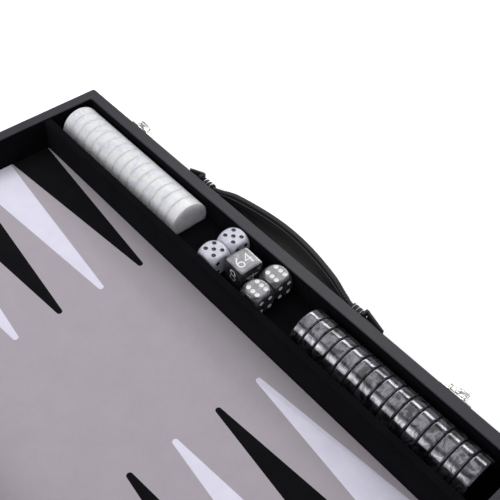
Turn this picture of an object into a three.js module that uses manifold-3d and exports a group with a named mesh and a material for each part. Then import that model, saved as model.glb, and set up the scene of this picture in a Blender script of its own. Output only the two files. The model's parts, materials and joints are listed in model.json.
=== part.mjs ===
// Backgammon set in a hinged briefcase, shown open flat with the pieces put away.
// Millimetres, +Z up. X runs across the case towards the handle, Y along its hinge.
// The origin is the middle of the underside of the handle half.
import * as THREE from 'three';
import { RoundedBoxGeometry } from 'three/addons/geometries/RoundedBoxGeometry.js';
import { mergeVertices } from 'three/addons/utils/BufferGeometryUtils.js';
import Module from 'manifold-3d';

const wasm = await Module();
wasm.setup();

// Driving dimensions.
const caseLength = 457; // 18 inches along the hinge
const pointPitch = 34.65; // spacing of the playing points, across the case
const pointsPerSide = 6;
const halfHeight = 39;
const wall = 9.1;
const trayWidth = 39.3;
const dividerThickness = 6.7;
const fieldDepth = 28.35; // from the rim down to the playing field
const trayDepth = 32.1; // from the rim down to the tray floor
const dividerDepth = 1; // from the rim down to the top of the divider
const platform = { depth: 19.2, farY: 65.4, nearY: -60 }; // depth is from the rim down
const fit = 0.3; // gap between touching pieces
const hingeGap = 4.6; // between the two halves when the case lies open

const checkerRadius = 16.8;
const checkerThickness = 9.48;
const checkerPitch = 9.78;
const checkerEase = 1.2; // bevel round each checker
const checkersPerSide = 15;
const darkRowOffset = 1.3; // the dark row lies this much further from the handle wall
const dieSize = 18.4;
const dieCorner = 3.7;
const dicePlaces = [
  ['white_die_1', 117.1, 24.2], ['white_die_2', 98.3, 23.3],
  ['dark_die_1', 117.2, -21.3], ['dark_die_2', 98.3, -22.7],
];
const cube = { size: 19, corner: 1.6, x: 107.3, y: 1.7, turn: -2 };

// A leatherette cup with a thick lip, lying on its side along Y in the lid half.
const cup = { radius: 22.5, lip: 24, height: 84, wall: 3.2, floor: 5, y: 20, places: [-20, 40] };

// Piano hinge: two leaves with knuckles in turn along one pin.
const hinge = { length: 430, knuckles: 9, radius: 1.9, pin: 0.9, leaf: 0.8, drop: 14 };

// Worked out from them.
const fieldWidth = pointPitch * pointsPerSide;
const halfWidth = wall + trayWidth + dividerThickness + fieldWidth + wall;
const innerLength = caseLength - 2 * wall;
const rim = halfHeight;
const fieldTop = rim - fieldDepth;
const trayFloor = rim - trayDepth;
const platformTop = rim - platform.depth;
const outerX = halfWidth / 2; // outer face of the handle wall
const innerX = outerX - wall;
const dividerX = innerX - trayWidth; // tray side of the divider
const fieldX = dividerX - dividerThickness; // field side of the divider
const hingeX = -halfWidth / 2 - hingeGap / 2;
const hingeZ = rim + fit / 2;
const lidX = 2 * hingeX; // the lid half mirrors the handle half about the hinge

// Arched strap handle, a stiff leather band on edge. It turns on two stubs in its brackets.
const handle = {
  y: 1.4, halfSpan: 73, neckSpan: 84.5, rise: 11.9, pivotX: outerX + 4.3, pivotZ: rim - 6,
  above: 6.75, below: 20.75, thickness: 5.6, neck: 4.2, taper: 22, stub: 1.2, stubSpan: 86.4,
};
const collar = { bore: 2.8, outer: 3.3, rib: 3.7, y0: 74.3, y1: 84.1, ribs: 3 };
const bracket = { y0: 84.9, y1: 86.8, out: 5.9, strap: 1.8, above: 0.8, below: 24 };
const bracketEnds = { far: 97.1, near: 104.4 }; // where each strap meets the wall, from mid handle

// Nickel latch: a plate with two ears, a hooked lever that turns up between them, shown down
// and open, and a ridged catch on the lid that the hook takes when the case is shut.
const latch = {
  width: 24.6, plate: 0.8, plateBelow: 20, pivotX: outerX + 3, pivotZ: rim - 1.5,
  pin: 0.8, earY0: 4.7, earY1: 6, ear: 1.5, heel: 1.4, middle: 4.4, shoulder: 1.85, lobe: 7,
  reach: 3.6, tip: 6.2, lip: 0.85, top: 1.2, thickness: 1.4, hook: 0.8, rivet: 1.5, rivetX: 0.45,
  cheek: 0.7, cheekBack: 1.3, cheekBelow: 9.2, apron: 0.6,
};
const latchCatch = { half: 9, plate: 0.5, below: 14, ridge: 1.2, ridgeHalf: 5, ridgeBelow: 0.7 };
const latchPlaces = [['far', 161.2], ['near', -163.6]];

// Finishes.
const finish = (colour, roughness, metalness = 0) =>
  new THREE.MeshStandardMaterial({ color: colour, roughness, metalness });
const leatherette = finish(0x2c2c31, 0.55);
const velvet = finish(0x121213, 0.95);
const felt = finish(0xafa9ae, 0.95);
const nickel = finish(0xd6d6d8, 0.25, 1);
const pearl = finish(0xe9e8f1, 0.25);
const marbled = finish(0x3a3a40, 0.25);

const part = new THREE.Group();

function add(name, geometry, material, x = 0, y = 0, z = 0) {
  const mesh = new THREE.Mesh(geometry, material);
  mesh.name = name;
  mesh.position.set(x, y, z);
  part.add(mesh);
  return mesh;
}

// A closed geometry as a solid that can be joined and cut, and back again.
function solid(geometry, x = 0, y = 0, z = 0) {
  const bare = geometry.clone().translate(x, y, z);
  bare.deleteAttribute('normal');
  bare.deleteAttribute('uv');
  const merged = mergeVertices(bare, 1e-4);
  return new wasm.Manifold(new wasm.Mesh({
    numProp: 3,
    vertProperties: merged.attributes.position.array,
    triVerts: new Uint32Array(merged.index.array),
  }));
}

function surface(body) {
  const mesh = body.getMesh();
  const geometry = new THREE.BufferGeometry();
  geometry.setAttribute('position', new THREE.BufferAttribute(mesh.vertProperties, 3));
  geometry.setIndex(new THREE.BufferAttribute(mesh.triVerts, 1));
  return geometry;
}

// A box by its lowest and highest corners.
function block(x0, x1, y0, y1, z0, z1) {
  const box = new THREE.BoxGeometry(x1 - x0, y1 - y0, z1 - z0);
  return box.translate((x0 + x1) / 2, (y0 + y1) / 2, (z0 + z1) / 2);
}

// A plan outline in X and Y raised from z0 to z1.
function raised(points, z0, z1) {
  const shape = new THREE.Shape(points.map(([x, y]) => new THREE.Vector2(x, y)));
  const body = new THREE.ExtrudeGeometry(shape, { depth: z1 - z0, bevelEnabled: false });
  return body.translate(0, 0, z0);
}

// A round bar or bore along Y.
function barY(radius, y0, y1, x, z, sides = 16) {
  return new THREE.CylinderGeometry(radius, radius, y1 - y0, sides).translate(x, (y0 + y1) / 2, z);
}

// The four walls of one half, with rounded outer corners.
function wallFrame() {
  const [w, l, r] = [halfWidth / 2, caseLength / 2, 2.5];
  const outline = new THREE.Shape();
  outline.absarc(w - r, l - r, r, 0, Math.PI / 2);
  outline.absarc(r - w, l - r, r, Math.PI / 2, Math.PI);
  outline.absarc(r - w, r - l, r, Math.PI, 1.5 * Math.PI);
  outline.absarc(w - r, r - l, r, 1.5 * Math.PI, 2 * Math.PI);
  const [iw, il] = [w - wall, l - wall];
  outline.holes.push(new THREE.Path([
    new THREE.Vector2(iw, il), new THREE.Vector2(iw, -il),
    new THREE.Vector2(-iw, -il), new THREE.Vector2(-iw, il),
  ]));
  return new THREE.ExtrudeGeometry(outline, { depth: halfHeight, bevelEnabled: false, curveSegments: 5 });
}

// One half of the case. side is 1 for the handle half, -1 for the mirrored lid half.
function caseHalf(prefix, centreX, side) {
  const endY = innerLength / 2 - fit;
  const span = (a, b) => (side > 0 ? [a, b] : [-b, -a]);
  const [panel0, panel1] = span(-innerX + fit, innerX - fit);
  const [field0, field1] = span(-innerX + fit, fieldX - fit);
  const [divider0, divider1] = span(fieldX, dividerX);
  add(`${prefix}_wall_frame`, wallFrame(), leatherette, centreX);
  const panel = block(panel0, panel1, -endY, endY, 0, trayFloor - fit);
  add(`${prefix}_bottom_panel`, panel, leatherette, centreX);
  const field = block(field0, field1, -endY, endY, trayFloor, fieldTop);
  add(`${prefix}_field_board`, field, felt, centreX);
  const divider = block(divider0, divider1, -endY, endY, trayFloor, rim - dividerDepth);
  add(`${prefix}_tray_divider`, divider, velvet, centreX);
}

// The raised block in the middle of the tray, between the two checker wells.
function dicePlatform() {
  const slab = block(
    dividerX + fit, innerX - fit, platform.nearY, platform.farY, trayFloor, platformTop);
  add('dice_platform', slab, velvet);
}

// A round playing piece with eased edges, its axis along Y.
function checker() {
  const [r, h, ease] = [checkerRadius, checkerThickness / 2, checkerEase];
  const profile = [[0, -h], [r - ease, -h], [r, ease - h], [r, h - ease], [r - ease, h], [0, h]];
  return new THREE.LatheGeometry(profile.map(([x, y]) => new THREE.Vector2(x, y)), 24);
}

// Fifteen checkers lie on edge in each well, packed towards the dice platform.
function checkerRow(colour, material, direction, x) {
  const firstY = direction > 0 ? platform.farY + 2 * fit : platform.nearY - 2 * fit;
  for (let i = 0; i < checkersPerSide; i += 1) {
    const name = `${colour}_checker_${String(i + 1).padStart(2, '0')}`;
    const y = firstY + direction * checkerPitch * (i + 0.5);
    add(name, checker(), material, x, y, trayFloor + checkerRadius);
  }
}

function diceAndCube() {
  for (const [name, x, y] of dicePlaces) {
    const die = new RoundedBoxGeometry(dieSize, dieSize, dieSize, 2, dieCorner);
    const colour = name.startsWith('white') ? pearl : marbled;
    add(name, die, colour, x, y, platformTop + fit + dieSize / 2);
  }
  const body = new RoundedBoxGeometry(cube.size, cube.size, cube.size, 2, cube.corner);
  const z = platformTop + fit + cube.size / 2;
  const placed = add('doubling_cube', body, marbled, cube.x, cube.y, z);
  placed.rotation.z = THREE.MathUtils.degToRad(cube.turn);
}

function diceCup() {
  const { radius, lip, height, wall: thick, floor } = cup;
  const inner = radius - thick;
  const profile = [
    [0, 0], [radius - 1.5, 0], [radius, 1.5], [radius, height - 11], [lip, height - 9.5],
    [lip, height - 1], [lip - 1, height], [inner, height], [inner, floor], [0, floor],
  ];
  return new THREE.LatheGeometry(profile.map(([x, y]) => new THREE.Vector2(x, y)), 28);
}

function diceCups() {
  cup.places.forEach((x, i) => {
    add(`dice_cup_${i + 1}`, diceCup(), leatherette, lidX + x, cup.y, fieldTop + fit + cup.lip);
  });
}

function hingeLeaf(name, side, firstKnuckle) {
  const { length, knuckles, radius, pin, leaf, drop } = hinge;
  const pitch = length / knuckles;
  const nearX = side * (hingeGap / 2 - fit - leaf);
  const farX = side * (hingeGap / 2 - fit);
  const [x0, x1] = [Math.min(nearX, farX), Math.max(nearX, farX)];
  let body = solid(block(x0, x1, -length / 2, length / 2, -drop, -radius - 0.7));
  for (let i = firstKnuckle; i < knuckles; i += 2) {
    const y0 = -length / 2 + i * pitch + fit / 2;
    const y1 = y0 + pitch - fit;
    const web = solid(block(x0, x1, y0, y1, -radius - 1, 0));
    body = body.add(web).add(solid(barY(radius, y0, y1, 0, 0)));
  }
  body = body.subtract(solid(barY(pin + fit, -length / 2 - 1, length / 2 + 1, 0, 0)));
  add(name, surface(body), nickel, hingeX, 0, hingeZ);
}

// The band is swept through chamfered sections, from neck to neck.
function handleGrip() {
  const { halfSpan, neckSpan, rise, above, below, thickness, neck, taper } = handle;
  const steps = 26;
  const ring = [[-1, -0.7], [-0.7, -1], [0.7, -1], [1, -0.7], [1, 0.7], [0.7, 1], [-0.7, 1], [-1, 0.7]];
  const positions = [];
  const index = [];
  for (let i = 0; i <= steps; i += 1) {
    const y = neckSpan * (2 * i / steps - 1);
    const along = Math.min(Math.abs(y) / halfSpan, 1);
    const out = rise * Math.cos(along * Math.PI / 2) ** 1.15;
    const narrow = THREE.MathUtils.smoothstep(Math.abs(y), halfSpan - taper, halfSpan);
    const top = THREE.MathUtils.lerp(above, neck / 2, narrow);
    const bottom = THREE.MathUtils.lerp(-below, -neck / 2, narrow);
    const halfT = THREE.MathUtils.lerp(thickness, neck, narrow) / 2;
    for (const [a, b] of ring) {
      positions.push(out + halfT * a, y, (top + bottom) / 2 + (top - bottom) / 2 * b);
    }
  }
  const n = ring.length;
  for (let i = 0; i < steps; i += 1) {
    for (let k = 0; k < n; k += 1) {
      const [a, b] = [i * n + k, i * n + (k + 1) % n];
      index.push(a, a + n, b, b, a + n, b + n);
    }
  }
  for (let k = 1; k < n - 1; k += 1) {
    index.push(0, k, k + 1);
    index.push(steps * n, steps * n + k + 1, steps * n + k);
  }
  const band = new THREE.BufferGeometry();
  band.setAttribute('position', new THREE.Float32BufferAttribute(positions, 3));
  band.setIndex(index);
  let body = solid(band);
  for (const end of [-1, 1]) {
    const [y0, y1] = [end * (neckSpan - 2), end * handle.stubSpan].sort((a, b) => a - b);
    body = body.add(solid(barY(handle.stub, y0, y1, 0, 0)));
  }
  add('handle_grip', surface(body), leatherette, handle.pivotX, handle.y, handle.pivotZ);
}

// Sleeve with three wire rings on each neck of the handle.
function handleCollar(name, end) {
  const { bore, outer, rib, y0, y1, ribs } = collar;
  const pitch = (y1 - y0) / ribs;
  let body = solid(barY(outer, y0, y1, 0, 0, 20));
  for (let i = 0; i < ribs; i += 1) {
    const y = y0 + (i + 0.5) * pitch;
    body = body.add(solid(barY(rib, y - 0.6, y + 0.6, 0, 0, 20)));
  }
  body = body.subtract(solid(barY(bore, y0 - 1, y1 + 1, 0, 0, 20)));
  const placed = add(name, surface(body), nickel, handle.pivotX, handle.y, handle.pivotZ);
  if (end < 0) placed.rotation.z = Math.PI;
}

// Leather tab at each end of the handle: a block with a hole for the stub, and a strap that slants
// back from it to a plate on the wall.
function handleBracket(name, end, strapEnd) {
  const { y0, y1, out, strap, above, below } = bracket;
  const [top, bottom] = [rim + above, rim - below];
  const x = outerX + fit;
  const span = (from, to) => [handle.y + end * from, handle.y + end * to].sort((a, b) => a - b);
  const plan = [
    [x + 0.4, y0], [x + out, y0], [x + out, y1], [x + 1.2, strapEnd], [x, strapEnd],
    [x, strapEnd - 1.5], [x + out - strap, y1], [x + 0.4, y1],
  ];
  const placed = plan.map(([px, py]) => [px, handle.y + end * py]);
  const tab = solid(raised(end > 0 ? placed : placed.reverse(), bottom, top));
  const plate = solid(block(x, x + 1.2, ...span(y0, strapEnd), bottom - 1, rim - 1.5));
  const hole = span(y0 - 1, handle.stubSpan + fit);
  const socket = solid(barY(handle.stub + fit, ...hole, handle.pivotX, handle.pivotZ));
  add(name, surface(tab.add(plate).subtract(socket)), leatherette);
}

function latchPlate(name, y) {
  const { pin, ear, pivotX, pivotZ, width, plateBelow } = latch;
  const x = outerX + fit;
  const half = width / 2;
  let plate = solid(block(x, x + latch.plate, y - half, y + half, rim - plateBelow, rim - 0.5));
  for (const end of [-1, 1]) {
    const [y0, y1] = [y + end * latch.earY0, y + end * latch.earY1].sort((a, b) => a - b);
    plate = plate.add(solid(block(x, pivotX, y0, y1, rim - 5.7, pivotZ + ear)));
    plate = plate.add(solid(barY(ear, y0, y1, pivotX, pivotZ)));
  }
  plate = plate.subtract(solid(barY(pin + fit, y - half, y + half, pivotX, pivotZ)));
  add(name, surface(plate), nickel);
}

// The lever is a folded cap on its pin: a top with a hooked lip, two cheeks and an apron.
function latchLever(name, y) {
  const { pin, middle, shoulder, lobe, reach, tip, heel, top, lip, cheekBelow } = latch;
  const front = reach - latch.apron;
  const outline = [
    [-heel, -middle], [shoulder, -middle], [shoulder, -lobe], [front, -lobe], [reach, -tip],
    [reach, tip], [front, lobe], [shoulder, lobe], [shoulder, middle], [-heel, middle],
  ];
  let lever = solid(raised(outline, top - latch.thickness, top));
  lever = lever.add(solid(block(reach - lip, reach, -tip, tip, 0, top + latch.hook)));
  lever = lever.add(solid(block(front, reach, -tip, tip, -cheekBelow, top)));
  for (const end of [-1, 1]) {
    const [y0, y1] = [end * (lobe - latch.cheek), end * lobe].sort((a, b) => a - b);
    lever = lever.add(solid(block(-latch.cheekBack, front, y0, y1, -cheekBelow, top)));
    const [c0, c1] = [end * (tip - 0.1), end * lobe].sort((a, b) => a - b);
    lever = lever.add(solid(block(front - latch.apron, front, c0, c1, -cheekBelow, top)));
    const [t0, t1] = [end * (tip - 0.4), end * tip].sort((a, b) => a - b);
    lever = lever.add(solid(block(front - latch.apron, reach, t0, t1, -cheekBelow, top)));
  }
  const rivet = new THREE.CylinderGeometry(latch.rivet, latch.rivet, 0.8, 20);
  lever = lever.add(solid(rivet.rotateX(Math.PI / 2), latch.rivetX, 0, top - 0.2));
  lever = lever.add(solid(barY(top, -middle, middle, 0, 0)));
  lever = lever.add(solid(barY(pin, -lobe + 0.1, lobe - 0.1, 0, 0)));
  add(name, surface(lever), nickel, latch.pivotX, y, latch.pivotZ);
}

function latchHasp(name, y) {
  const { half, plate, below, ridge, ridgeHalf, ridgeBelow } = latchCatch;
  const wallX = 2 * hingeX - outerX - fit;
  const topZ = rim - fit / 2;
  const hasp = solid(block(wallX - plate, wallX, y - half, y + half, rim - below, topZ));
  const [y0, y1] = [y - ridgeHalf, y + ridgeHalf];
  const bar = solid(block(wallX - ridge, wallX, y0, y1, rim - ridgeBelow, topZ));
  add(name, surface(hasp.add(bar)), nickel);
}

caseHalf('base', 0, 1);
dicePlatform();
checkerRow('white', pearl, 1, innerX - checkerRadius - fit);
checkerRow('dark', marbled, -1, innerX - checkerRadius - fit - darkRowOffset);
diceAndCube();
caseHalf('lid', lidX, -1);
diceCups();
hingeLeaf('base_hinge_leaf', 1, 0);
hingeLeaf('lid_hinge_leaf', -1, 1);
add('hinge_pin', barY(hinge.pin, -hinge.length / 2, hinge.length / 2, 0, 0), nickel, hingeX, 0, hingeZ);
handleGrip();
for (const [place, end] of [['far', 1], ['near', -1]]) {
  handleCollar(`handle_collar_${place}`, end);
  handleBracket(`handle_bracket_${place}`, end, bracketEnds[place]);
}
for (const [place, y] of latchPlaces) {
  latchPlate(`latch_plate_${place}`, y);
  latchLever(`latch_lever_${place}`, y);
  latchHasp(`latch_catch_${place}`, y);
}

export default part;
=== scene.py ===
"""Backgammon set in a hinged briefcase: the looks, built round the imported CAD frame. Metres, +Z up."""
import json
import math
import random

import bpy
import bmesh
from mathutils import Matrix, Vector


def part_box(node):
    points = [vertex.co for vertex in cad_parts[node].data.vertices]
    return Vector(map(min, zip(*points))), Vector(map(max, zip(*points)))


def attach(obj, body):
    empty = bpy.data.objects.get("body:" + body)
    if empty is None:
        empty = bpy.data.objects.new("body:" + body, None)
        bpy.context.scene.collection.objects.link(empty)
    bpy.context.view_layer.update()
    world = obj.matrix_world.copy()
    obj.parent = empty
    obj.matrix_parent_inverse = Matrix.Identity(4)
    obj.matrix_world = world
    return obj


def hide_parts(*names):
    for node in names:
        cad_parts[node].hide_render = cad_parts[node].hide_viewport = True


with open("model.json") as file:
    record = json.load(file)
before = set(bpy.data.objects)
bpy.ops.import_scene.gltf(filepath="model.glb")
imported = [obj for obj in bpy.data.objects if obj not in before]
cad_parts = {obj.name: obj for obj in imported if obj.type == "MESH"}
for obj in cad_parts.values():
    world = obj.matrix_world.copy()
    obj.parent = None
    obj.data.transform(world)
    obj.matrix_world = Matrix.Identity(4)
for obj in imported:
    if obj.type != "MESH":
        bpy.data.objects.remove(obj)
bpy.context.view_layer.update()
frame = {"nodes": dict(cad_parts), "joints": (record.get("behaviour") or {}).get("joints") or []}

MM = 0.001
rng = random.Random(18)


# ---------------------------------------------------------------- places, from the CAD frame
def node_box(name):
    low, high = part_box(name)
    return low, high


def middle(name):
    low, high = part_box(name)
    return (low + high) / 2


WALL_HIGH = node_box("base_wall_frame")[1]
DIVIDER_LOW = node_box("base_tray_divider")[0]
FIELD_HIGH = node_box("base_field_board")[1]
PLATFORM_LOW, PLATFORM_HIGH = node_box("dice_platform")
RIM = WALL_HIGH.z
FIT = DIVIDER_LOW.x - FIELD_HIGH.x
WALL = WALL_HIGH.x - node_box("base_bottom_panel")[1].x - FIT
FIELD_TOP = FIELD_HIGH.z
TRAY_TOP = node_box("base_bottom_panel")[1].z


# ---------------------------------------------------------------- camera, lights and floor
CAMERA_AIM = Vector((WALL_HIGH.x - 18.3 * MM, 6.8 * MM, RIM - 1.0 * MM))
CAMERA_DISTANCE = 0.5728
CAMERA_AZIMUTH = math.radians(43.65)
CAMERA_ELEVATION = math.radians(48.13)
CAMERA_ROLL = math.radians(3.14)
CAMERA_LENS = 58.28
LIGHT_AIM = Vector((0.1, -0.05, RIM))


def make_camera():
    forward = Vector((
        math.sin(CAMERA_AZIMUTH) * math.cos(CAMERA_ELEVATION),
        math.cos(CAMERA_AZIMUTH) * math.cos(CAMERA_ELEVATION),
        -math.sin(CAMERA_ELEVATION)))
    data = bpy.data.cameras.new("camera")
    data.lens = CAMERA_LENS
    data.sensor_width = 36
    data.clip_start = 0.01
    camera = bpy.data.objects.new("camera", data)
    bpy.context.scene.collection.objects.link(camera)
    turn = forward.to_track_quat("-Z", "Y").to_matrix() @ Matrix.Rotation(CAMERA_ROLL, 3, "Z")
    camera.matrix_world = Matrix.Translation(CAMERA_AIM - CAMERA_DISTANCE * forward) @ turn.to_4x4()
    bpy.context.scene.camera = camera


def softbox(name, direction, distance, width, height, radiance):
    """A rectangular light that looks at the tray from a direction, as bright as radiance."""
    data = bpy.data.lights.new(name, "AREA")
    data.shape = "RECTANGLE"
    data.size, data.size_y = width, height
    data.energy = radiance * math.pi * width * height
    light = bpy.data.objects.new(name, data)
    bpy.context.scene.collection.objects.link(light)
    towards = Vector(direction).normalized()
    turn = (-towards).to_track_quat("-Z", "Y").to_matrix()
    light.matrix_world = Matrix.Translation(LIGHT_AIM + towards * distance) @ turn.to_4x4()


def make_studio():
    softbox("overhead_softbox", (0.10, 0.31, 0.95), 1.3, 1.35, 1.1, 1.0)
    softbox("overhead_right", (0.42, 0.56, 0.71), 1.3, 0.5, 0.36, 2.0)
    softbox("strip_light", (0.73, 0.31, 0.61), 1.25, 0.95, 0.26, 5.2)
    softbox("left_softbox", (-0.78, 0.31, 0.545), 1.25, 0.8, 0.7, 1.6)
    softbox("left_core", (-0.78, 0.31, 0.545), 1.24, 0.7, 0.34, 2.2)
    softbox("front_fill", (-0.2, -0.85, 0.5), 1.4, 1.4, 0.9, 0.3)
    world = bpy.data.worlds.new("studio")
    world.use_nodes = True
    world.node_tree.nodes["Background"].inputs["Color"].default_value = (0.96, 0.96, 1.0, 1)
    world.node_tree.nodes["Background"].inputs["Strength"].default_value = 0.38
    bpy.context.scene.world = world
    bpy.context.scene.view_settings.view_transform = "Standard"


def make_floor():
    size = 4.0
    verts = [(x * size, y * size, 0) for x, y in ((-1, -1), (1, -1), (1, 1), (-1, 1))]
    mesh = bpy.data.meshes.new("floor")
    mesh.from_pydata(verts, [], [(0, 1, 2, 3)])
    floor = bpy.data.objects.new("floor", mesh)
    bpy.context.scene.collection.objects.link(floor)
    shader = new_material("floor_white")[1]
    shader.inputs["Base Color"].default_value = (0.93, 0.93, 0.93, 1)
    shader.inputs["Roughness"].default_value = 0.9
    shader.inputs["Emission Color"].default_value = (1, 1, 1, 1)
    shader.inputs["Emission Strength"].default_value = 0.35
    mesh.materials.append(bpy.data.materials["floor_white"])


# ---------------------------------------------------------------- material helpers
def new_material(name):
    material = bpy.data.materials.new(name)
    material.use_nodes = True
    return material, material.node_tree.nodes["Principled BSDF"]


def node(material, kind, **values):
    """A node with its settings: sockets by name, anything else as an attribute."""
    made = material.node_tree.nodes.new(kind)
    for key, value in values.items():
        label = key.replace("_", " ").title()
        if label in made.inputs:
            made.inputs[label].default_value = value
        else:
            setattr(made, key, value)
    return made


def wire(material, source, target):
    material.node_tree.links.new(source, target)


def object_coordinates(material, stretch=(1, 1, 1)):
    place = node(material, "ShaderNodeTexCoord").outputs["Object"]
    if tuple(stretch) == (1, 1, 1):
        return place
    scale = node(material, "ShaderNodeVectorMath", operation="MULTIPLY")
    wire(material, place, scale.inputs[0])
    scale.inputs[1].default_value = stretch
    return scale.outputs[0]


def noise(material, place, scale, detail=3.0, roughness=0.5, distortion=0.0):
    made = node(material, "ShaderNodeTexNoise", scale=scale, detail=detail,
                roughness=roughness, distortion=distortion)
    wire(material, place, made.inputs["Vector"])
    return made


def ramp(material, source, stops):
    """Colour stops over a factor: (position, (r, g, b)) each."""
    made = node(material, "ShaderNodeValToRGB")
    elements = made.color_ramp.elements
    while len(elements) < len(stops):
        elements.new(0.5)
    for element, (position, colour) in zip(elements, stops):
        element.position = position
        element.color = (*colour, 1)
    wire(material, source, made.inputs["Fac"])
    return made.outputs["Color"]


def blend_colours(material, factor, first, second, mode="MIX"):
    made = node(material, "ShaderNodeMix", data_type="RGBA", blend_type=mode)
    if isinstance(factor, float):
        made.inputs[0].default_value = factor
    else:
        wire(material, factor, made.inputs[0])
    for socket, value in ((made.inputs[6], first), (made.inputs[7], second)):
        if isinstance(value, tuple):
            socket.default_value = (*value, 1)
        else:
            wire(material, value, socket)
    return made.outputs[2]


def add_heights(material, *pairs):
    """Sum of height sources, each times its weight."""
    total = None
    for source, weight in pairs:
        part = node(material, "ShaderNodeMath", operation="MULTIPLY")
        wire(material, source, part.inputs[0])
        part.inputs[1].default_value = weight
        if total is None:
            total = part.outputs[0]
        else:
            both = node(material, "ShaderNodeMath", operation="ADD")
            wire(material, total, both.inputs[0])
            wire(material, part.outputs[0], both.inputs[1])
            total = both.outputs[0]
    return total


def bump(material, shader, height, strength, depth):
    made = node(material, "ShaderNodeBump", strength=strength, distance=depth)
    wire(material, height, made.inputs["Height"])
    wire(material, made.outputs["Normal"], shader.inputs["Normal"])


def settings(shader, **values):
    for key, value in values.items():
        shader.inputs[key.replace("_", " ")].default_value = value


# ---------------------------------------------------------------- materials
def leatherette_material(name, dark, light, roughness):
    """Black coated cloth with a fine pebble grain and faint rubbing."""
    material, shader = new_material(name)
    place = object_coordinates(material)
    pebbles = node(material, "ShaderNodeTexVoronoi", feature="SMOOTH_F1", scale=1500.0)
    wire(material, place, pebbles.inputs["Vector"])
    fine = noise(material, place, 2600, 3)
    broad = noise(material, place, 26, 4, 0.6)
    wire(material, ramp(material, broad.outputs["Fac"], [(0.3, dark), (0.7, light)]),
         shader.inputs["Base Color"])
    polished, rubbed = (roughness - 0.06,) * 3, (roughness + 0.06,) * 3
    worn = ramp(material, broad.outputs["Fac"], [(0.25, polished), (0.75, rubbed)])
    wire(material, worn, shader.inputs["Roughness"])
    height = add_heights(material, (pebbles.outputs["Distance"], 1.0), (fine.outputs["Fac"], 0.4))
    bump(material, shader, height, 0.55, 0.00025)
    settings(shader, Specular_IOR_Level=0.5)
    return material


def velvet_material():
    """Short dense pile: very dark, with a faint sheen and rubbed patches."""
    material, shader = new_material("black_velvet")
    place = object_coordinates(material)
    pile = noise(material, place, 1900, 3)
    brushed = noise(material, place, 34, 4, 0.65)
    wire(material, ramp(material, brushed.outputs["Fac"],
                        [(0.35, (0.0026, 0.0024, 0.0036)), (0.7, (0.0050, 0.0046, 0.0062))]),
         shader.inputs["Base Color"])
    settings(shader, Roughness=1.0, Specular_IOR_Level=0.08, Sheen_Weight=0.012,
             Sheen_Roughness=0.4, Sheen_Tint=(0.8, 0.82, 0.9, 1))
    bump(material, shader, pile.outputs["Fac"], 0.5, 0.0004)
    return material


def suede_material(name, low, middle_tone, high, mottle=1.0):
    """Brushed suede cloth: soft mottling, a fine nap and a little sheen."""
    material, shader = new_material(name)
    place = object_coordinates(material)
    mottled = noise(material, place, 60, 5, 0.62)
    nap = noise(material, place, 900, 4, 0.6)
    fibres = noise(material, object_coordinates(material, (1.0, 0.35, 1.0)), 2400, 3)
    base = ramp(material, mottled.outputs["Fac"], [(0.32, low), (0.5, middle_tone), (0.68, high)])
    grain = ramp(material, nap.outputs["Fac"], [(0.3, (0.93, 0.93, 0.93)), (0.7, (1.0, 1.0, 1.0))])
    wire(material, blend_colours(material, 0.7 * mottle, base, grain, "MULTIPLY"),
         shader.inputs["Base Color"])
    settings(shader, Roughness=0.95, Specular_IOR_Level=0.12, Sheen_Weight=0.05, Sheen_Roughness=0.5)
    height = add_heights(material, (nap.outputs["Fac"], 1.0), (fibres.outputs["Fac"], 0.5))
    bump(material, shader, height, 0.35, 0.0003)
    return material


def marble_place(material):
    """Object coordinates moved by each piece's own shift, so that no two are marbled alike."""
    shift = node(material, "ShaderNodeAttribute", attribute_name="marble_shift")
    both = node(material, "ShaderNodeVectorMath", operation="ADD")
    wire(material, object_coordinates(material), both.inputs[0])
    wire(material, shift.outputs["Vector"], both.inputs[1])
    return both.outputs[0]


def swirls(material, folds):
    """Two fields of marbling, one cloudy and one drawn out in fine folds round the piece."""
    place = marble_place(material)
    warp = noise(material, place, 45, 3, 0.5)
    push = node(material, "ShaderNodeVectorMath", operation="MULTIPLY_ADD")
    wire(material, warp.outputs["Color"], push.inputs[0])
    push.inputs[1].default_value = (folds, folds, folds)
    wire(material, place, push.inputs[2])
    drawn = node(material, "ShaderNodeVectorMath", operation="MULTIPLY")
    wire(material, push.outputs[0], drawn.inputs[0])
    drawn.inputs[1].default_value = (0.45, 1.9, 0.45)
    clouds = noise(material, push.outputs[0], 95, 5, 0.58, 0.6)
    fine = noise(material, drawn.outputs[0], 210, 5, 0.62, 1.2)
    return clouds.outputs["Fac"], fine.outputs["Fac"]


def pearl_material():
    """Polished white pearl acrylic: soft lavender and warm folds, lit a little from within."""
    material, shader = new_material("pearl_acrylic")
    clouds, fine = swirls(material, 0.022)
    base = ramp(material, clouds, [
        (0.30, (0.74, 0.71, 0.77)), (0.42, (0.83, 0.82, 0.91)), (0.52, (0.97, 0.96, 0.99)),
        (0.62, (0.89, 0.86, 0.85)), (0.74, (0.78, 0.77, 0.86))])
    veins = ramp(material, fine, [
        (0.34, (0.36, 0.36, 0.40)), (0.5, (0.54, 0.54, 0.55)), (0.66, (0.70, 0.69, 0.70))])
    wire(material, blend_colours(material, 0.5, base, veins, "OVERLAY"), shader.inputs["Base Color"])
    settings(shader, Roughness=0.20, Coat_Weight=0.35, Coat_Roughness=0.04, Subsurface_Weight=0.9,
             Subsurface_Scale=0.007)
    shader.inputs["Subsurface Radius"].default_value = (1.0, 0.9, 0.85)
    return material


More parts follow.
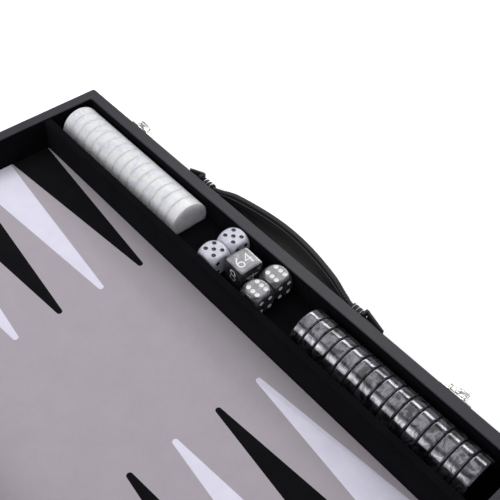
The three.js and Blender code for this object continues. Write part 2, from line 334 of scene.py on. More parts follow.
def dark_pearl_material(name, stops, metallic, roughness, coat):
    """Dark acrylic full of pearl pigment, which only shows where it mirrors the lights."""
    material, shader = new_material(name)
    clouds, fine = swirls(material, 0.03)
    base = ramp(material, clouds, stops)
    veins = ramp(material, fine, [
        (0.34, (0.10, 0.10, 0.11)), (0.5, (0.48, 0.48, 0.49)), (0.68, (0.88, 0.88, 0.90))])
    wire(material, blend_colours(material, 0.4, base, veins, "OVERLAY"), shader.inputs["Base Color"])
    settings(shader, Metallic=metallic, Roughness=roughness, Coat_Weight=coat, Coat_Roughness=0.05)
    return material


def plain_material(name, colour, roughness, speckle=0.06, metallic=0.0, scale=400.0, depth=0.00005):
    """A painted, moulded or plated finish with slight variation in tone and gloss."""
    material, shader = new_material(name)
    place = object_coordinates(material)
    tone = noise(material, place, scale, 4, 0.6)
    low = tuple(c * (1 - speckle) for c in colour)
    high = tuple(min(c * (1 + speckle), 1) for c in colour)
    wire(material, ramp(material, tone.outputs["Fac"], [(0.3, low), (0.7, high)]),
         shader.inputs["Base Color"])
    gloss = ramp(material, noise(material, place, 90, 5, 0.7).outputs["Fac"],
                 [(0.3, (roughness * 0.8,) * 3), (0.7, (roughness * 1.25,) * 3)])
    wire(material, gloss, shader.inputs["Roughness"])
    settings(shader, Metallic=metallic)
    bump(material, shader, tone.outputs["Fac"], 0.15, depth)
    return material


make_camera()
make_studio()
make_floor()

LEATHERETTE = leatherette_material(
    "black_leatherette", (0.0145, 0.0135, 0.0195), (0.0225, 0.021, 0.030), 0.50)
LEATHER = leatherette_material("handle_leather", (0.0028, 0.0028, 0.004), (0.006, 0.006, 0.0085), 0.62)
VELVET = velvet_material()
SUEDE = suede_material("grey_suede", (0.432, 0.392, 0.432), (0.443, 0.402, 0.443), (0.456, 0.414, 0.455))
WHITE_SUEDE = suede_material("white_suede", (0.78, 0.76, 0.90), (0.82, 0.80, 0.93), (0.85, 0.83, 0.95), 0.5)
BLACK_SUEDE = suede_material(
    "black_suede", (0.0018, 0.0016, 0.0028), (0.0026, 0.0024, 0.0036), (0.004, 0.0036, 0.005))
PEARL = pearl_material()
DARK_MARBLE = dark_pearl_material("dark_marbled_acrylic", [
    (0.30, (0.008, 0.008, 0.010)), (0.42, (0.035, 0.035, 0.042)), (0.52, (0.17, 0.17, 0.19)),
    (0.60, (0.07, 0.07, 0.08)), (0.70, (0.012, 0.012, 0.015))], 0.70, 0.13, 1.0)
GREY_MARBLE = dark_pearl_material("grey_marbled_acrylic", [
    (0.30, (0.03, 0.03, 0.034)), (0.5, (0.075, 0.075, 0.084)), (0.7, (0.15, 0.15, 0.165))], 0.35, 0.22, 1.0)
DICE_PEARL = plain_material("grey_pearl_acrylic", (0.56, 0.56, 0.645), 0.18, 0.14, scale=420.0)
PIP_BLACK = plain_material("pip_black", (0.006, 0.006, 0.007), 0.18)
PAINT_WHITE = plain_material("paint_white", (0.86, 0.86, 0.87), 0.35)
NICKEL = plain_material("bright_nickel", (0.86, 0.85, 0.83), 0.17, 0.03, metallic=1.0)
# Dark nickel for the ring round each latch rivet: a painted dark reflection, standing for the dark
# surroundings mirrored at the rivet's edge.
PAINTED_REFLECTION_NICKEL = plain_material("nickel_painted_dark_reflection", (0.16, 0.155, 0.15), 0.35, 0.1, metallic=1.0)
THREAD = plain_material("waxed_thread", (0.060, 0.060, 0.064), 0.55, 0.3, scale=3000.0)


# ---------------------------------------------------------------- mesh helpers
def finished(obj, body, slot, *replaced, sharp=35):
    mesh = obj.data
    mesh.polygons.foreach_set("use_smooth", [True] * len(mesh.polygons))
    mesh.set_sharp_from_angle(angle=math.radians(sharp))
    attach(obj, body)
    if replaced:
        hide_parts(*replaced)
    return obj


def piece(name, verts, faces, material):
    mesh = bpy.data.meshes.new(name)
    mesh.from_pydata([tuple(v) for v in verts], [], faces)
    mesh.update()
    fixed = bmesh.new()
    fixed.from_mesh(mesh)
    bmesh.ops.recalc_face_normals(fixed, faces=fixed.faces)
    fixed.to_mesh(mesh)
    fixed.free()
    mesh.materials.append(material)
    obj = bpy.data.objects.new(name, mesh)
    bpy.context.scene.collection.objects.link(obj)
    return obj


def joined(parts):
    """Several (verts, faces) as one."""
    verts, faces = [], []
    for part_verts, part_faces in parts:
        start = len(verts)
        verts.extend(part_verts)
        faces.extend(tuple(start + i for i in face) for face in part_faces)
    return verts, faces


def skin(loops, closed=False):
    """Quads between loops of equal length. The loops close on themselves or end in caps."""
    count = len(loops[0])
    verts = [v for loop in loops for v in loop]
    faces = []
    last = len(loops) if closed else len(loops) - 1
    for i in range(last):
        here, there = i * count, ((i + 1) % len(loops)) * count
        for k in range(count):
            nxt = (k + 1) % count
            faces.append((here + k, here + nxt, there + nxt, there + k))
    if not closed:
        faces.append(tuple(range(count))[::-1])
        faces.append(tuple((len(loops) - 1) * count + k for k in range(count)))
    return verts, faces


def rounded_loop(low, high, radius, z, steps=5):
    """A rounded rectangle in plan between two corners, at height z."""
    points = []
    for corner, (sx, sy) in enumerate(((1, 1), (0, 1), (0, 0), (1, 0))):
        cx = (high.x - radius) if sx else (low.x + radius)
        cy = (high.y - radius) if sy else (low.y + radius)
        for i in range(steps + 1):
            angle = math.pi / 2 * (corner + i / steps)
            points.append((cx + radius * math.cos(angle), cy + radius * math.sin(angle), z))
    return points


def arc(cx, cz, radius, start, end, steps=5):
    """Points of an arc in a profile, from one angle to another in degrees."""
    out = []
    for i in range(steps + 1):
        angle = math.radians(start + (end - start) * i / steps)
        out.append((cx + radius * math.cos(angle), cz + radius * math.sin(angle)))
    return out


def slab(low, high, top_radius, plan_radius=0.0003, bottom_radius=0.0002):
    """A block whose top edges are rounded over, as verts and faces."""
    profile = arc(bottom_radius, low.z + bottom_radius, bottom_radius, 270, 180, 2)
    profile += arc(top_radius, high.z - top_radius, top_radius, 180, 90, 6)
    profile.append((top_radius + 0.0004, high.z))
    loops = []
    for inset, z in profile:
        a = Vector((low.x + inset, low.y + inset, 0))
        b = Vector((high.x - inset, high.y - inset, 0))
        loops.append(rounded_loop(a, b, max(plan_radius, 0.0001), z, 3))
    return skin(loops)


def turned(profile, place, axis, steps=72):
    """A profile of (radius, along) turned about an axis, with its ends closed at the axis."""
    direction = Vector(axis).normalized()
    side = direction.orthogonal().normalized()
    other = direction.cross(side)
    loops = []
    for radius, along in profile:
        loop = []
        for i in range(steps):
            angle = 2 * math.pi * i / steps
            out = side * math.cos(angle) + other * math.sin(angle)
            loop.append(Vector(place) + direction * along + out * radius)
        loops.append(loop)
    return skin(loops)


def applied(obj):
    """The object with its modifiers made real."""
    bpy.context.view_layer.update()
    evaluated = obj.evaluated_get(bpy.context.evaluated_depsgraph_get())
    mesh = bpy.data.meshes.new_from_object(evaluated)
    obj.modifiers.clear()
    old = obj.data
    obj.data = mesh
    bpy.data.meshes.remove(old)
    return obj


def shift_marble(obj):
    """Gives the piece its own place in the marbling."""
    shift = [rng.uniform(-3, 3) for _ in range(3)]
    attribute = obj.data.attributes.new("marble_shift", "FLOAT_VECTOR", "POINT")
    attribute.data.foreach_set("vector", shift * len(obj.data.vertices))


# ---------------------------------------------------------------- the case
def wall_cover(side):
    """The leatherette covered walls of one half, with rolled edges and rounded corners."""
    low, high = node_box(f"{side}_wall_frame")
    outer, inner, foot = 0.7 * MM, 0.7 * MM, 0.8 * MM  # radii of the rolled edges
    corner, inner_corner = 2.2 * MM, 2.0 * MM  # radii of the corners in plan
    margin, cut = 0.3 * MM, 0.2 * MM
    profile = arc(foot, foot, foot, 270, 180, 4)
    profile += arc(outer, RIM - outer, outer, 180, 90, 6)
    profile += [(outer + margin, RIM), (WALL - inner - margin, RIM)]
    profile += arc(WALL - inner, RIM - inner, inner, 90, 0, 5)
    profile += [(WALL, RIM - 2 * MM), (WALL, cut), (WALL - cut, 0.0)]
    loops = []
    for inset, z in profile:
        a = Vector((low.x + inset, low.y + inset, 0))
        b = Vector((high.x - inset, high.y - inset, 0))
        radius = corner - inset if inset < corner / 2 else inner_corner
        loops.append(rounded_loop(a, b, radius, z))
    cover = piece(f"{side}_wall_cover", *skin(loops, closed=True), LEATHERETTE)
    finished(cover, side, "leatherette", f"{side}_wall_frame")


def wall_lining(side):
    """Velvet glued to the inner faces of the walls, stopping just under the rolled rim."""
    low, high = node_box(f"{side}_wall_frame")
    thick, glued = 0.26 * MM, 0.02 * MM
    top, bottom = RIM - 1.1 * MM, TRAY_TOP
    profile = [(WALL - glued, bottom), (WALL - glued, top), (WALL + thick * 0.6, top),
               (WALL + thick, top - 0.3 * MM), (WALL + thick, bottom)]
    loops = []
    for inset, z in profile:
        a = Vector((low.x + inset, low.y + inset, 0))
        b = Vector((high.x - inset, high.y - inset, 0))
        loops.append(rounded_loop(a, b, 2.0 * MM, z))
    lining = piece(f"{side}_wall_lining", *skin(loops, closed=True), VELVET)
    finished(lining, side, "velvet")


def playing_field(side):
    """The suede covered board."""
    low, high = node_box(f"{side}_field_board")
    board = piece(f"{side}_field", *slab(low, high, 0.4 * MM, plan_radius=2.0 * MM), SUEDE)
    finished(board, side, "suede", f"{side}_field_board")


POINTS_PER_SIDE = 6
POINT_LENGTH = 155.3 * MM
POINT_TIP = 2.1 * MM
POINT_GAP = 0.75 * MM
POINT_SHIFT = 0.5 * MM
POINT_PROUD = 0.1 * MM  # as deep in the field as it stands above it
POINT_SOFT_EDGE = 0.06 * MM


def point_outline(centre, base_y, reach, half_width):
    """A long triangle with a round tip, from the short wall towards the middle."""
    towards = 1 if reach > 0 else -1
    length = abs(reach) - POINT_TIP
    lean = math.asin(POINT_TIP / math.hypot(length, half_width)) + math.atan2(half_width, length)
    outline = [(centre - half_width, base_y)]
    steps = 12
    for i in range(steps + 1):
        angle = (math.pi - lean) - (math.pi - 2 * lean) * i / steps
        outline.append((centre + POINT_TIP * math.cos(angle),
                        base_y + towards * (length + POINT_TIP * math.sin(angle))))
    outline.append((centre + half_width, base_y))
    return outline


def inlaid_point(name, side, centre, base_y, reach, pitch, material, slot):
    """One point of suede let into the field, a hair proud of it, with a soft cut edge."""
    half = pitch / 2 - POINT_GAP
    outline = point_outline(centre, base_y, reach, half)
    mid = Vector((centre, base_y + reach * 0.35, 0))
    loops = []
    for inset, z in ((0.0, FIELD_TOP - POINT_PROUD), (0.0, FIELD_TOP + POINT_PROUD / 2),
                     (POINT_SOFT_EDGE, FIELD_TOP + POINT_PROUD)):
        shrink = 1 - inset / (POINT_TIP * 2)
        loops.append([(centre + (x - centre) * (shrink if inset else 1),
                       y + (mid.y - y) * inset / POINT_LENGTH, z) for x, y in outline])
    made = piece(name, *skin(loops), material)
    finished(made, side, slot)


def all_points():
    """Six points on each short side of each half, black and white in turn round the board."""
    for side in ("base", "lid"):
        low, high = node_box(f"{side}_field_board")
        pitch = (high.x - low.x + 2 * FIT) / POINTS_PER_SIDE
        flip = 1 if side == "base" else -1
        divider_x = high.x + FIT if side == "base" else low.x - FIT
        for i in range(POINTS_PER_SIDE):
            centre = divider_x - flip * (pitch * (i + 0.5) + POINT_SHIFT)
            for end, wall_y, reach in (("far", high.y, -POINT_LENGTH), ("near", low.y, POINT_LENGTH)):
                dark = (i % 2 == 0) == (end == "far")
                if side == "lid":
                    dark = not dark
                name = f"{side}_point_{end}_{i + 1}"
                inlaid_point(name, side, centre, wall_y, reach, pitch,
                             BLACK_SUEDE if dark else WHITE_SUEDE, "velvet" if dark else "suede")


DIVIDER_ROLL, PLATFORM_ROLL = 1.3 * MM, 1.4 * MM  # radii of their top edges


def tray(side):
    """The divider and the tray floor, wrapped in velvet."""
    low, high = node_box(f"{side}_tray_divider")
    low, high = low.copy(), high.copy()
    longer, gap, thick = 0.04 * MM, 0.05 * MM, 0.25 * MM
    low.y -= longer
    high.y += longer
    divider = piece(f"{side}_divider_velvet", *slab(low, high, DIVIDER_ROLL), VELVET)
    finished(divider, side, "velvet", f"{side}_tray_divider")
    panel_low, panel_high = node_box(f"{side}_bottom_panel")
    if side == "base":
        x0, x1 = high.x + gap, panel_high.x
    else:
        x0, x1 = panel_low.x, low.x - gap
    floor_low = Vector((x0, panel_low.y, TRAY_TOP))
    floor_high = Vector((x1, panel_high.y, TRAY_TOP + thick))
    sheet = slab(floor_low, floor_high, 0.1 * MM, bottom_radius=0.05 * MM)
    lining = piece(f"{side}_tray_lining", *sheet, VELVET)
    finished(lining, side, "velvet")


def dice_platform():
    low, high = PLATFORM_LOW.copy(), PLATFORM_HIGH.copy()
    platform = piece("dice_platform_velvet", *slab(low, high, PLATFORM_ROLL), VELVET)
    finished(platform, "base", "velvet", "dice_platform")


def bottom_panel(side):
    """The underside stays the CAD mesh, in leatherette."""
    frame["nodes"][f"{side}_bottom_panel"].data.materials.clear()
    frame["nodes"][f"{side}_bottom_panel"].data.materials.append(LEATHERETTE)


# ---------------------------------------------------------------- checkers, dice and cube
def checker(name, material, slot, edge, swell=0.0):
    """A polished disc with a rolled edge and a sunk middle, dished very slightly."""
    low, high = node_box(name)
    centre = middle(name)
    radius = (high.z - low.z) / 2
    half = (high.y - low.y) / 2 + swell
    at_axis, sunk, margin = 0.02 * MM, 0.35 * MM, 0.3 * MM
    face = [(at_axis, -half + sunk), (radius * 0.62, -half + 0.33 * MM),
            (radius * 0.72, -half + 0.08 * MM), (radius * 0.76, -half), (radius - edge - margin, -half)]
    rim = arc(radius - edge, -half + edge, edge, 270, 360, 6)
    lower = face + rim + [(radius, -half + edge + margin)]
    profile = lower + [(r, -along) for r, along in reversed(lower)]
    made = piece(f"{name}_disc", *turned(profile, centre, (0, 1, 0)), material)
    shift_marble(made)
    finished(made, name, slot, name)


def die_surface(half, sphere, power, smooth, steps):
    """A cube cut back by a sphere, its faces nearly flat and its edges eased."""
    verts, faces = [], []
    index = {}

    def vertex(direction):
        key = tuple(round(c, 6) for c in direction)
        if key not in index:
            d = Vector(direction).normalized()
            box = half / sum(abs(c) ** power for c in d) ** (1 / power)
            blend = max(0.0, 1 - abs(box - sphere) / smooth) ** 2 * smooth / 4
            index[key] = len(verts)
            verts.append(d * (min(box, sphere) - blend))
        return index[key]

    for axis in range(3):
        for sign in (-1, 1):
            for i in range(steps):
                for j in range(steps):
                    corners = []
                    for a, b in ((i, j), (i + 1, j), (i + 1, j + 1), (i, j + 1)):
                        direction = [0.0, 0.0, 0.0]
                        direction[axis] = float(sign)
                        direction[(axis + 1) % 3] = math.tan(math.pi / 4 * (2 * a / steps - 1))
                        direction[(axis + 2) % 3] = math.tan(math.pi / 4 * (2 * b / steps - 1))
                        corners.append(vertex(direction))
                    faces.append(tuple(corners if sign > 0 else corners[::-1]))
    return verts, faces


PIP_ACROSS = 3.95 * MM
PIP_ALONG = 4.4 * MM
PIP_DEPTH = 0.55 * MM
PIP_PATTERNS = {
    1: [(0, 0)],
    2: [(-1, 1), (1, -1)],
    3: [(-1, 1), (0, 0), (1, -1)],
    4: [(-1, -1), (-1, 1), (1, -1), (1, 1)],
    5: [(-1, -1), (-1, 1), (1, -1), (1, 1), (0, 0)],
    6: [(-1, -1), (-1, 0), (-1, 1), (1, -1), (1, 0), (1, 1)],
}


def face_axes(normal):
    """Two directions across a face of a die, for its rows of pips."""
    n = Vector(normal)
    across = Vector((1, 0, 0)) if abs(n.x) < 0.5 else Vector((0, 1, 0))
    return across, n.cross(across)


def die(node_name, faces, material, pip_material, slot, pip_radius):
    """A rounded die with dished, painted pips. faces gives the count on each side."""
    centre = middle(node_name)
    low, high = node_box(node_name)
    half = (high.z - low.z) / 2
    body_mesh = die_surface(half, sphere=half * 1.348, power=26, smooth=0.9 * MM, steps=30)
    body = piece(f"{node_name}_body", [centre + v for v in body_mesh[0]], body_mesh[1], material)
    ball = (pip_radius ** 2 + PIP_DEPTH ** 2) / (2 * PIP_DEPTH)
    rings = 14
    cutters = []
    for normal, count in faces.items():
        across, up = face_axes(normal)
        n = Vector(normal)
        for a, b in PIP_PATTERNS[count]:
            place = centre + n * (half + ball - PIP_DEPTH) + across * a * PIP_ACROSS + up * b * PIP_ALONG
            turns = [math.pi * i / rings for i in range(1, rings)]
            outline = [(ball * math.sin(turn), -ball * math.cos(turn)) for turn in turns]
            cutters.append(turned(outline, place, normal, 24))
    cutter = piece("pip_cutter", *joined(cutters), pip_material)
    cut = body.modifiers.new("pips", "BOOLEAN")
    cut.object = cutter
    cut.operation = "DIFFERENCE"
    cut.solver = "EXACT"
    cut.material_mode = "TRANSFER"
    applied(body)
    bpy.data.objects.remove(cutter)
    shift_marble(body)
    finished(body, node_name, slot, node_name, sharp=28)


def all_dice():
    white = {(0, 0, 1): 5, (0, -1, 0): 4, (-1, 0, 0): 1, (1, 0, 0): 6, (0, 1, 0): 3, (0, 0, -1): 2}
    dark = {(0, 0, 1): 6, (0, -1, 0): 4, (-1, 0, 0): 2, (1, 0, 0): 5, (0, 1, 0): 3, (0, 0, -1): 1}
    for i in (1, 2):
        die(f"white_die_{i}", white, DICE_PEARL, PIP_BLACK, "pearl_acrylic", 1.72 * MM)
        die(f"dark_die_{i}", dark, GREY_MARBLE, PAINT_WHITE, "marbled_acrylic", 1.85 * MM)


CUBE_TURN = math.radians(-2.0)
CUBE_SIDE = 19 * MM


def digits(text, height, place, right, up, normal):
    """A number as a thin painted inlay on a face, as verts and faces."""
    curve = bpy.data.curves.new("digits", "FONT")
    curve.body = text
    curve.size = height
    curve.align_x = "CENTER"
    curve.align_y = "CENTER"
    curve.extrude = 0.03 * MM
    curve.offset = -0.16 * MM
    curve.resolution_u = 6
    holder = bpy.data.objects.new("digits", curve)
    bpy.context.scene.collection.objects.link(holder)
    bpy.context.view_layer.update()
    evaluated = holder.evaluated_get(bpy.context.evaluated_depsgraph_get())
    mesh = bpy.data.meshes.new_from_object(evaluated)
    xs = [v.co.x for v in mesh.vertices]
    ys = [v.co.y for v in mesh.vertices]
    cx, cy = (min(xs) + max(xs)) / 2, (min(ys) + max(ys)) / 2
    verts = [place + right * (v.co.x - cx) + up * (v.co.y - cy) + normal * v.co.z for v in mesh.vertices]
    faces = [tuple(p.vertices) for p in mesh.polygons]
    bpy.data.objects.remove(holder)
    bpy.data.meshes.remove(mesh)
    return verts, faces


def doubling_cube():
    centre = middle("doubling_cube")
    half = CUBE_SIDE / 2
    turn = Matrix.Rotation(CUBE_TURN, 3, "Z")
    verts, faces = die_surface(half, sphere=half * 1.66, power=40, smooth=0.6 * MM, steps=22)
    body = piece("doubling_cube_body", [centre + turn @ v for v in verts], faces, GREY_MARBLE)
    shift_marble(body)
    finished(body, "doubling_cube", "marbled_acrylic", "doubling_cube", sharp=50)
    x, y, z = (turn @ Vector(v) for v in ((1, 0, 0), (0, 1, 0), (0, 0, 1)))
    numbers = [("64", z, x, y, 14.5), ("8", -x, -y, z, 15.5), ("4", -y, z, -x, 15.5),
               ("16", x, y, z, 14.5), ("2", y, -x, z, 15.5), ("32", -z, x, -y, 14.5)]
    parts = [digits(text, height * MM, centre + normal * half, right, up, normal)
             for text, normal, right, up, height in numbers]
    inlay = piece("doubling_cube_numbers", *joined(parts), PAINT_WHITE)
    finished(inlay, "doubling_cube", "pearl_acrylic", sharp=30)


# ---------------------------------------------------------------- handle
PIVOT = Vector(next(j for j in frame["joints"] if j["name"] == "handle_swing")["pos_m"])
GRIP_LOW, GRIP_HIGH = node_box("handle_grip")
GRIP_ABOVE = GRIP_HIGH.z - PIVOT.z
GRIP_BELOW = PIVOT.z - GRIP_LOW.z
HALF_BAND, NECK = 2.8 * MM, 2.1 * MM
GRIP_RISE = GRIP_HIGH.x - PIVOT.x - HALF_BAND
GRIP_SPAN, NECK_SPAN = 73 * MM, 84.4 * MM
GRIP_BOW = 1.15  # power of the cosine that the band follows in plan
NARROW_FROM = 50 * MM  # distance from the middle where the band starts to narrow
BAND_EDGE = 2.0 * MM  # half the thickness of the band at its top and bottom
BAND_FULLER = 0.5 * MM  # what its middle has on each side beyond that
WHIP_REACH, WHIP_HALF, WHIP_SUNK = 69 * MM, 1.35 * MM, 0.36 * MM
BEAD_REACH, BEAD_OUT, BEAD_DROP = 68 * MM, 2.15 * MM, 3.2 * MM
THREAD_RADIUS = 0.34 * MM
COLLAR_RINGS = (-2 / 3, 0, 2 / 3)  # where they sit, in halves of the collar's length
SLEEVE_SUNK, SLEEVE_GAP = 0.35 * MM, 0.6 * MM
GROOVE_DEPTH, GROOVE_SHARPNESS = 0.55 * MM, 9
RING_WIRE, RING_SUNK = 0.4 * MM, 0.42 * MM
BRACKET_FACE = 86.8 * MM  # how far from the pivot the outer face of a bracket's tab is


def smoothstep(x, low, high):
    t = min(max((x - low) / (high - low), 0), 1)
    return t * t * (3 - 2 * t)


def grip_section(y):
    """The band at y: x of its middle, z of its top and bottom, and how far it has narrowed, 0 to 1."""
    along = min(abs(y) / GRIP_SPAN, 1)
    out = GRIP_RISE * math.cos(along * math.pi / 2) ** GRIP_BOW
    narrow = smoothstep(abs(y), NARROW_FROM, GRIP_SPAN)
    top = GRIP_ABOVE + (NECK - GRIP_ABOVE) * narrow
    bottom = -GRIP_BELOW + (GRIP_BELOW - NECK) * narrow
    return PIVOT.x + out, PIVOT.z + top, PIVOT.z + bottom, narrow


def middle_of_band(y):
    """The band's middle line in plan, at height 0."""
    return Vector((grip_section(y)[0], PIVOT.y + y, 0))


def grip_frame(y):
    """The point of the band's middle line at y, and the directions along and out of it."""
    here, ahead = grip_section(y - 0.5 * MM), grip_section(y + 0.5 * MM)
    along = Vector((ahead[0] - here[0], 1.0 * MM, 0)).normalized()
    return middle_of_band(y), along, Vector((along.y, -along.x, 0))


def handle_strap():
    """The leather band as one mesh: fuller in its middle, square with eased corners, round at the necks."""
    loops = []
    steps, sides = 96, 36
    for i in range(steps + 1):
        y = NECK_SPAN * (2 * i / steps - 1)
        _, top, bottom, narrow = grip_section(y)
        place, _, out = grip_frame(y)
        edge = BAND_EDGE + (NECK - BAND_EDGE) * narrow
        half_height = (top - bottom) / 2
        loop = []
        for k in range(sides):
            angle = 2 * math.pi * k / sides
            c, s = math.cos(angle), math.sin(angle)
            corner = 2 + 6 * (1 - narrow)
            reach = (abs(c) ** corner + abs(s) ** corner) ** (-1 / corner)
            z = s * reach
            fuller = edge + BAND_FULLER * (1 - narrow) * max(0, 1 - (z * 1.25) ** 2)
            level = Vector((0, 0, (top + bottom) / 2 + z * half_height))
            loop.append(place + out * c * reach * fuller + level)
        loops.append(loop)
    strap = piece("handle_strap", *skin(loops), LEATHER)
    finished(strap, "handle", "leatherette", "handle_grip")


def capsule(start, end, radius, sides=6):
    """A short thread or bar with round ends."""
    axis = (end - start).normalized()
    length = (end - start).length
    profile = [(radius * 0.1, -radius), (radius * 0.7, -radius * 0.7), (radius, 0), (radius, length),
               (radius * 0.7, length + radius * 0.7), (radius * 0.1, length + radius)]
    return turned(profile, start, axis, sides)


def handle_stitching():
    """Thread whipped over the top edge, and a raised bead that runs below it on each face."""
    whips = []
    count = 66
    for i in range(count):
        y = WHIP_REACH * (2 * (i + 0.5) / count - 1)
        _, top, _, narrow = grip_section(y)
        place, along, out = grip_frame(y)
        half = WHIP_HALF + 0.2 * MM * narrow
        z = Vector((0, 0, top - WHIP_SUNK))
        slant = along * 0.5 * MM
        whips.append(capsule(place - out * half - slant + z, place + out * half + slant + z, THREAD_RADIUS))
    thread = piece("handle_whip_stitches", *joined(whips), THREAD)
    finished(thread, "handle", "leatherette")
    beads = []
    steps = 80
    turns = [math.pi / 4 * k for k in range(8)]
    for side in (-1, 1):
        loops = []
        for i in range(steps + 1):
            y = BEAD_REACH * (2 * i / steps - 1)
            _, top, _, narrow = grip_section(y)
            place, _, out = grip_frame(y)
            drop = BEAD_DROP * (1 - 0.45 * narrow)
            centre = place + out * side * (BEAD_OUT - 0.1 * MM * narrow) + Vector((0, 0, top - drop))
            loops.append([centre + out * THREAD_RADIUS * math.cos(turn)
                          + Vector((0, 0, THREAD_RADIUS * math.sin(turn))) for turn in turns])
        beads.append(skin(loops))
    bead = piece("handle_edge_beads", *joined(beads), THREAD)
    finished(bead, "handle", "leatherette")


def ring(place, axis, radius, thick, steps=40, sides=8):
    """A wire ring."""
    axis = Vector(axis).normalized()
    side = axis.orthogonal().normalized()
    other = axis.cross(side)
    loops = []
    for i in range(steps):
        angle = 2 * math.pi * i / steps
        out = side * math.cos(angle) + other * math.sin(angle)
        loops.append([Vector(place) + out * (radius + thick * math.cos(a)) + axis * thick * math.sin(a)
                      for a in (2 * math.pi * k / sides for k in range(sides))])
    return skin(loops, closed=True)


def handle_collar(place):
    """A leather sleeve, open at both ends, bound with three nickel wire rings."""
    name = f"handle_collar_{place}"
    low, high = node_box(name)
    centre = middle(name)
    half = (high.y - low.y) / 2
    outer = (high.z - low.z) / 2
    profile = []
    steps = 40
    for i in range(steps + 1):
        at = 2 * i / steps - 1
        nearest = min(abs(at - r) for r in COLLAR_RINGS)
        groove = GROOVE_DEPTH * max(0, 1 - nearest * GROOVE_SHARPNESS)
        profile.append((outer - SLEEVE_SUNK - groove, at * half))
    inner = NECK + SLEEVE_GAP
    profile = [(inner, -half)] + profile + [(inner, half)]
    verts, faces = turned(profile, centre, (0, 1, 0), 40)
    without_caps = faces[:-2]
    sleeve = piece(f"{name}_sleeve", verts, without_caps, LEATHER)
    finished(sleeve, "handle", "leatherette", name)
    wires = [ring(centre + Vector((0, at * half, 0)), (0, 1, 0), outer - RING_SUNK, RING_WIRE)
             for at in COLLAR_RINGS]
    finished(piece(f"{name}_rings", *joined(wires), NICKEL), "handle", "nickel")


def dome(place, axis, radius, height, steps=24):
    """A domed rivet head."""
    profile = [(radius * 0.96, -0.2 * MM), (radius, 0.0)]
    angles = [math.pi / 2 * k / 6 for k in range(1, 6)]
    profile += [(radius * math.cos(a), height * math.sin(a)) for a in angles]
    profile.append((radius * 0.05, height))
    return turned(profile, place, axis, steps)


def soften(node_name, body, slot, width, material, segments=3):
    """A close copy of a CAD piece with its edges rolled over."""
    source = frame["nodes"][node_name]
    mesh = source.data.copy()
    work = bmesh.new()
    work.from_mesh(mesh)
    bmesh.ops.remove_doubles(work, verts=work.verts, dist=0.00001)
    bmesh.ops.dissolve_limit(work, angle_limit=math.radians(1), verts=work.verts, edges=work.edges)
    work.to_mesh(mesh)
    work.free()
    mesh.materials.clear()
    mesh.materials.append(material)
    copy = bpy.data.objects.new(f"{node_name}_soft", mesh)
    bpy.context.scene.collection.objects.link(copy)
    bevel = copy.modifiers.new("edges", "BEVEL")
    bevel.width = width
    bevel.segments = segments
    bevel.limit_method = "ANGLE"
    bevel.angle_limit = math.radians(30)
    applied(copy)
    return finished(copy, body, slot, node_name, sharp=40)


def handle_bracket(place, end):
    """The leather tab, with a rivet in its pocket, one on its outside and thread along its top edge."""
    name = f"handle_bracket_{place}"
    soften(name, "base", "leatherette", 0.3 * MM, LEATHER)
    low, high = node_box(name)
    apex = PIVOT.y + end * BRACKET_FACE
    wall_end = high.y if end > 0 else low.y
    pocket = Vector((low.x + 3.2 * MM, apex + end * 1.0 * MM, high.z - 3.4 * MM))
    outside = Vector((high.x - 1.5 * MM, apex + end * 2.3 * MM, RIM - 12 * MM))
    rivets = [dome(pocket, (-0.4, end * 0.2, 1), 0.75 * MM, 0.4 * MM),
              dome(outside, (1, 0, 0), 1.2 * MM, 0.4 * MM)]
    finished(piece(f"{name}_rivets", *joined(rivets), NICKEL), "base", "nickel")
    seam_z = high.z - 0.08 * MM
    start = Vector((high.x - 0.9 * MM, apex, seam_z))
    finish = Vector((low.x + 0.8 * MM, wall_end - end * 1.6 * MM, seam_z))
    count = 6
    threads = []
    for i in range(count):
        here, there = start.lerp(finish, (i + 0.2) / count), start.lerp(finish, (i + 0.8) / count)
        threads.append(capsule(here, there, 0.2 * MM))
    finished(piece(f"{name}_thread", *joined(threads), THREAD), "base", "leatherette")


# ---------------------------------------------------------------- latches and hinge
def screw_pair(middle_point, apart, axis, radius, height):
    """Two domed screw heads, side by side along the wall, as verts and faces."""
    return joined([dome(middle_point + Vector((0, side * apart, 0)), axis, radius, height)
                   for side in (-1, 1)])


def latch(place):
    """A nickel plate, lever and catch, with a groove ring of dark nickel round the lever's rivet as painted
    dark reflection, and screw heads.
    """
    plate_name, lever_name, catch_name = (f"latch_{part}_{place}" for part in ("plate", "lever", "catch"))
    soften(plate_name, "base", "nickel", 0.18 * MM, NICKEL)
    soften(lever_name, f"latch_{place}", "nickel", 0.22 * MM, NICKEL)
    soften(catch_name, "lid", "nickel", 0.15 * MM, NICKEL)
    joint = Vector(next(j for j in frame["joints"] if j["name"] == f"latch_{place}_turn")["pos_m"])
    rivet_top = joint + Vector((0.45 * MM, 0, 1.2 * MM))
    # The ring's dark nickel is a painted dark reflection, not the metal's own tone.
    groove = ring(rivet_top, (0, 0, 1), 1.7 * MM, 0.2 * MM)
    finished(piece(f"{lever_name}_groove", *groove, PAINTED_REFLECTION_NICKEL), f"latch_{place}", "nickel")
    plate_back = node_box(plate_name)[0].x
    on_plate = Vector((plate_back + 0.8 * MM, joint.y, RIM - 16 * MM))
    screws = screw_pair(on_plate, 8 * MM, (1, 0, 0), 1.7 * MM, 0.7 * MM)
    finished(piece(f"{plate_name}_screws", *screws, NICKEL), "base", "nickel")
    catch_back = node_box(catch_name)[1].x
    on_catch = Vector((catch_back - 0.5 * MM, joint.y, RIM - 8 * MM))
    screws = screw_pair(on_catch, 6 * MM, (-1, 0, 0), 1.5 * MM, 0.6 * MM)
    finished(piece(f"{catch_name}_screws", *screws, NICKEL), "lid", "nickel")


def piano_hinge():
    soften("base_hinge_leaf", "base", "nickel", 0.15 * MM, NICKEL, 2)
    soften("lid_hinge_leaf", "lid", "nickel", 0.15 * MM, NICKEL, 2)
    soften("hinge_pin", "base", "nickel", 0.15 * MM, NICKEL, 2)


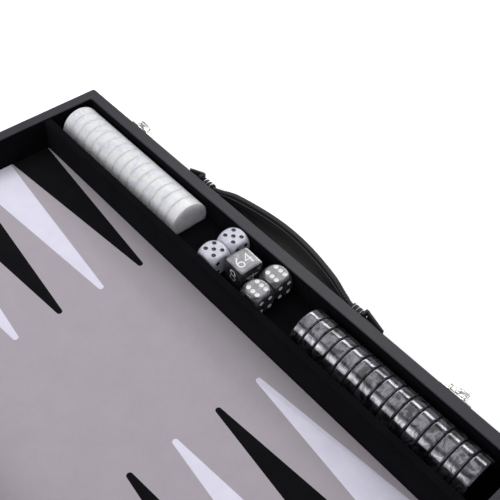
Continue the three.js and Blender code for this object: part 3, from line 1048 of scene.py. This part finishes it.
# ---------------------------------------------------------------- dice cups
CUP_LIP_STEP, CUP_WALL, CUP_FLOOR = 1.5 * MM, 3.2 * MM, 5.2 * MM
CUP_HOLLOW = 1.0 * MM  # radius left open round the axis, which the caps close
CUP_EDGE, CUP_BEAD, CUP_ROLL = 1.2 * MM, 0.8 * MM, 2.2 * MM  # radii of foot, under the lip and its top
CUP_STITCHES = 44


def dice_cup(name):
    """A leatherette cup with a rolled, stitched lip, lined with velvet."""
    low, high = node_box(name)
    centre = middle(name)
    foot = Vector((centre.x, low.y, centre.z))
    lip, height = (high.x - low.x) / 2, high.y - low.y
    wall_out = lip - CUP_LIP_STEP
    inner = wall_out - CUP_WALL
    profile = [(CUP_HOLLOW, CUP_EDGE), (wall_out - 4 * MM, CUP_EDGE), (inner, 0.1 * MM),
               (wall_out - CUP_EDGE, 0.0)]
    profile += arc(wall_out - CUP_EDGE, CUP_EDGE, CUP_EDGE, 270, 360, 5)
    profile += [(wall_out, 20 * MM), (wall_out, height - 11 * MM), (lip - CUP_BEAD, height - 10.4 * MM)]
    profile += arc(lip - CUP_BEAD, height - 9.4 * MM, CUP_BEAD, 300, 360, 4)
    profile += [(lip, height - 5 * MM)]
    profile += arc(lip - CUP_ROLL, height - CUP_ROLL, CUP_ROLL, 0, 90, 7)
    profile += arc(inner + CUP_EDGE, height - CUP_EDGE, CUP_EDGE, 90, 180, 5)
    profile += [(inner, height - 3 * MM), (inner, 40 * MM), (inner, CUP_FLOOR), (CUP_HOLLOW, CUP_FLOOR)]
    shell = piece(f"{name}_shell", *turned(profile, foot, (0, 1, 0), 80), LEATHERETTE)
    finished(shell, name, "leatherette", name)
    under, face, top = CUP_FLOOR + 0.05 * MM, CUP_FLOOR + 0.4 * MM, height - 3 * MM
    outside, inside = inner - 0.05 * MM, inner - 0.3 * MM
    lining = [(CUP_HOLLOW, under), (outside, under), (outside, top), (inside, top), (inside, face),
              (CUP_HOLLOW, face)]
    finished(piece(f"{name}_lining", *turned(lining, foot, (0, 1, 0), 80), VELVET), name, "velvet")
    stitches = []
    seam, seam_y = lip - 0.2 * MM, height - 8.4 * MM  # set back, clear of what the cup lies on
    for i in range(CUP_STITCHES):
        turns = [2 * math.pi * (i + t) / CUP_STITCHES for t in (0.2, 0.7)]
        start, finish = (foot + Vector((seam * math.cos(a), seam_y, seam * math.sin(a))) for a in turns)
        stitches.append(capsule(start, finish, 0.22 * MM))
    finished(piece(f"{name}_stitches", *joined(stitches), THREAD), name, "leatherette")


# ---------------------------------------------------------------- build
for half_name in ("base", "lid"):
    wall_cover(half_name)
    wall_lining(half_name)
    playing_field(half_name)
    tray(half_name)
    bottom_panel(half_name)
all_points()
dice_platform()
for number in range(1, 16):
    checker(f"white_checker_{number:02d}", PEARL, "pearl_acrylic", 0.6 * MM, 0.1 * MM)
    checker(f"dark_checker_{number:02d}", DARK_MARBLE, "marbled_acrylic", 1.15 * MM)
all_dice()
doubling_cube()
handle_strap()
handle_stitching()
for place_name, side_sign in (("far", 1), ("near", -1)):
    handle_collar(place_name)
    handle_bracket(place_name, side_sign)
    latch(place_name)
piano_hinge()
for number in (1, 2):
    dice_cup(f"dice_cup_{number}")
